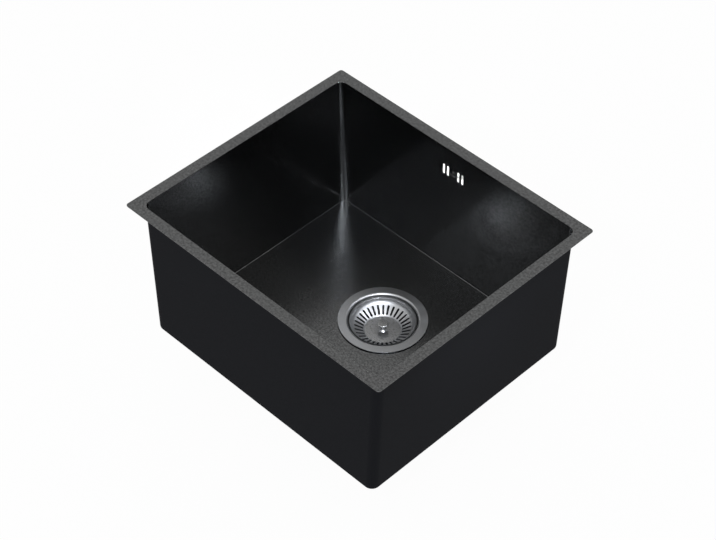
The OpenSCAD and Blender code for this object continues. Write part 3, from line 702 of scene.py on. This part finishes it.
def make_hose(plastic):
    """Ribbed hose on the route of the solid one, with rounder and finer ribs."""
    low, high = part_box("overflow_hose")
    back = high.y - HOSE_RIB_R
    level = low.z + HOSE_RIB_R
    end = HOSE_SEAT + HOSE_CUFF
    top = high.z - HOSE_SEAT - HOSE_CUFF
    front = low.y + HOSE_SEAT + HOSE_CUFF
    down = top - level - HOSE_BEND_R
    bend = HOSE_BEND_R*TAU/4
    run = down + bend + back - HOSE_BEND_R - front
    ribs = round(run/HOSE_PITCH)

    def route(s):
        """The hose's middle at a length along it, and how far it has turned."""
        t = min(max(s/down, 0), 1)
        a = min(max((s - down)/bend, 0), 1)*TAU/4
        middle = Vector((
            DRAIN.x*t*t*(3 - 2*t),
            back - HOSE_BEND_R*(1 - math.cos(a)) - max(s - down - bend, 0),
            top - min(s, down) - HOSE_BEND_R*math.sin(a),
        ))
        return middle, a

    def ring(bm, s, radius):
        middle, a = route(s)
        points = []
        for i in range(HOSE_SIDES):
            b = TAU*i/HOSE_SIDES
            away = Vector((math.cos(b), math.sin(b)*math.cos(a), -math.sin(b)*math.sin(a)))
            points.append(middle + radius*away)
        return [bm.verts.new(p) for p in points]

    bm = bmesh.new()
    loops = [ring(bm, -end, HOSE_BORE_R), ring(bm, -end, HOSE_ROOT_R)]
    for i in range(ribs*RIB_STEPS + 1):
        wave = (0.5 - 0.5*math.cos(TAU*i/RIB_STEPS))**RIB_FULLNESS
        loops.append(ring(bm, run*i/(ribs*RIB_STEPS), HOSE_ROOT_R + (HOSE_RIB_R - HOSE_ROOT_R)*wave))
    loops += [ring(bm, run + end, HOSE_ROOT_R), ring(bm, run + end, HOSE_BORE_R)]
    loops += [ring(bm, run*i/ribs, HOSE_BORE_R) for i in range(ribs, -1, -1)]
    for lower, upper in zip(loops, loops[1:] + loops[:1]):
        bridge(bm, lower, upper)
    hose = make_piece("ribbed_hose", bm, [plastic])
    smooth(hose, 50)
    place_piece(hose, "sink", "white_plastic", "overflow_hose")


# Stage

def make_camera():
    data = bpy.data.cameras.new("camera")
    data.sensor_width = CAMERA_SENSOR
    data.lens = CAMERA_LENS
    data.clip_end = CAMERA_REACH
    camera = bpy.data.objects.new("camera", data)
    bpy.context.scene.collection.objects.link(camera)
    turned = Matrix.Rotation(math.radians(CAMERA_AZIMUTH), 4, "Z")
    tipped = Matrix.Rotation(math.radians(90 - CAMERA_ELEVATION), 4, "X")
    rolled = Matrix.Rotation(math.radians(CAMERA_ROLL), 4, "Z")
    camera.matrix_world = Matrix.Translation(CAMERA_PLACE) @ turned @ tipped @ rolled
    bpy.context.scene.camera = camera


def seen_by_eye(tree):
    """1 for rays from the camera, also by way of a reflection or through glass, and else 0."""
    path = node(tree, "ShaderNodeLightPath")
    seen = path.outputs["Is Camera Ray"]
    for kind in ("Is Glossy Ray", "Is Transmission Ray"):
        seen = math_node(tree, "MAXIMUM", seen, path.outputs[kind])
    return seen


def make_floor():
    """White floor that keeps a faint shadow of the object."""
    place = (0, 0, cad_box[0].z - STAGE_GAP)
    bpy.ops.mesh.primitive_plane_add(size=STAGE_SIZE, location=place)
    floor = bpy.context.object
    floor.name = "floor"
    material, tree, shader = new_material("floor_white", Roughness=0.9, Specular_IOR_Level=0.0)
    shader.inputs["Base Color"].default_value = grey(STAGE_TONE)
    glow = node(tree, "ShaderNodeEmission", {"Color": grey(1), "Strength": 1.0})
    share = math_node(tree, "MULTIPLY", seen_by_eye(tree), STAGE_GLOW)
    both = node(tree, "ShaderNodeMixShader", {0: share, 1: shader.outputs[0], 2: glow.outputs[0]})
    tree.links.new(both.outputs[0], tree.nodes["Material Output"].inputs["Surface"])
    floor.data.materials.append(material)


def make_world():
    """An even white world, full white to the eye and a little weaker as light."""
    world = bpy.data.worlds.new("studio")
    bpy.context.scene.world = world
    world.use_nodes = True
    tree = world.node_tree
    light = tree.nodes["Background"]
    light.inputs["Color"].default_value = grey(1)
    light.inputs["Strength"].default_value = WORLD_STRENGTH
    white = node(tree, "ShaderNodeBackground", {"Color": grey(1), "Strength": 1.0})
    seen = seen_by_eye(tree)
    both = node(tree, "ShaderNodeMixShader", {0: seen, 1: light.outputs[0], 2: white.outputs[0]})
    tree.links.new(both.outputs[0], tree.nodes["World Output"].inputs["Surface"])


def add_lamp(name, kind, target, azimuth, elevation, watts):
    """A small studio lamp, placed by its direction in degrees as seen from its target."""
    data = bpy.data.lights.new(name, kind)
    data.energy = watts
    data.color = LAMP_COLOR
    if kind == "SPOT":
        data.spot_size = math.radians(SPOT_ANGLE)
        data.spot_blend = SPOT_BLEND
        data.shadow_soft_size = LAMP_SIZE/2
    else:
        data.size = LAMP_SIZE
    lamp = bpy.data.objects.new(name, data)
    bpy.context.scene.collection.objects.link(lamp)
    side = math.radians(azimuth)
    up = math.radians(elevation)
    away = Vector((math.cos(side)*math.cos(up), math.sin(side)*math.cos(up), math.sin(up)))
    aimed = away.to_track_quat("Z", "Y").to_matrix().to_4x4()
    lamp.matrix_world = Matrix.Translation(target + LAMP_FAR*away) @ aimed


def finish_cad_nodes(finishes):
    """Gives the CAD nodes that stay their materials."""
    for material, names in finishes:
        for name in names:
            NODES[name].data.materials.clear()
            NODES[name].data.materials.append(material)


make_camera()
make_floor()
make_world()

# The black steel mirrors the lit waste as a soft glow on the left and the back wall.
# The spots on the far corner draw its two bright lines and the streak on the floor.
add_lamp("front", "AREA", BOWL_MIDDLE, azimuth=-60, elevation=48, watts=9)
add_lamp("corner", "SPOT", FAR_CORNER, azimuth=-5, elevation=50, watts=260)
add_lamp("corner_low", "SPOT", FAR_CORNER, azimuth=-15, elevation=42, watts=140)
add_lamp("corner_front", "SPOT", FAR_CORNER, azimuth=-75, elevation=42, watts=80)
add_lamp("waste_high", "SPOT", DRAIN, azimuth=-40, elevation=62, watts=58)
add_lamp("waste_front", "SPOT", DRAIN, azimuth=-30, elevation=55, watts=85)
add_lamp("waste_low", "SPOT", DRAIN, azimuth=-20, elevation=48, watts=55)
add_lamp("waste_back", "SPOT", DRAIN, azimuth=20, elevation=52, watts=40)
add_lamp("waste_side", "SPOT", DRAIN, azimuth=62, elevation=58, watts=45)
add_lamp("waste_left", "SPOT", DRAIN, azimuth=-135, elevation=44, watts=6)

steel_black = black_steel()
steel_floor = black_steel("black_steel_floor", roughness=0.25)
coat_black = black_coat()
steel_ring = ring_steel()
steel_polished = polished_steel()
steel_knob = polished_steel("knob_steel", roughness=0.26)
steel_pressed = polished_steel("pressed_steel", tone=0.38, roughness=0.38)
# Painted shade: the cup is the ring's own steel, darkened to stand for the shade inside it.
steel_cup_painted_shade = polished_steel("cup_steel_painted_shade", tone=0.06, roughness=0.3)
steel_satin = polished_steel("satin_steel", roughness=0.3)
metal_brass = brass()
plastic_white = white_plastic()
plastic_shell_painted_glow = painted_glow_plastic()
rubber_black = rubber()
rubber_pad = rubber("pad_rubber", tone=0.05, pits=260)

make_bowl(steel_black, steel_floor, coat_black)
make_ring(steel_ring, steel_pressed, steel_cup_painted_shade)
make_basket(steel_pressed, steel_satin)
make_knob(steel_knob)
make_hose(plastic_white)

finish_cad_nodes([
    (steel_polished, ["centre_screw", "basket_stem", "stem_catch", "plug_washer", "overflow_screw"]),
    (metal_brass, ["body_insert", "overflow_insert"]),
    (plastic_white, ["waste_body", "hose_nut_upper", "hose_nut_lower"]),
    (plastic_shell_painted_glow, ["overflow_head"]),
    (rubber_black, [
        "flange_gasket", "body_gasket", "plug_seal", "overflow_gasket",
        "hose_seal_upper", "hose_seal_lower",
    ]),
    (rubber_pad, ["sound_pad_left", "sound_pad_right"]),
])

bpy.context.scene.view_settings.view_transform = "Standard"
